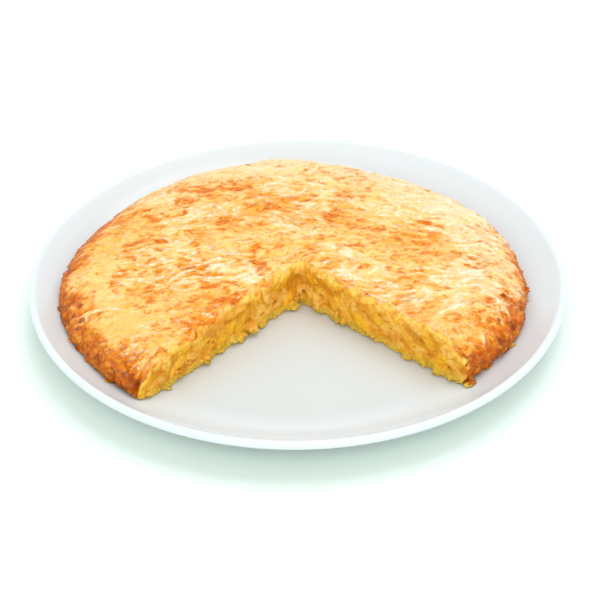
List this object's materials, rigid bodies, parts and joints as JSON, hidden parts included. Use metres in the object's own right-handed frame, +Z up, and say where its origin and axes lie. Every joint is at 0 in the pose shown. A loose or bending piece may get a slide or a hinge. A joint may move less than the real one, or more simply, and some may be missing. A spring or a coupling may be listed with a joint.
{
  "type": "spanish omelette",
  "caption": "Thick round potato and egg omelette with browned top and a wedge cut away, served on a shallow white plate.",
  "frame": {"origin": "middle of the plate's foot, on the surface that it stands on", "axes": "+Z up through the plate's axis, -Y towards the mouth of the missing wedge"},
  "size_m": [0.27, 0.27, 0.0317],
  "materials": {
    "plate": "smooth white glaze",
    "omelette": "browned egg skin, moist yellow potato and egg where it is cut"
  },
  "bodies": {
    "root": {"plate": "plate", "omelette": "omelette"}
  },
  "joints": []
}
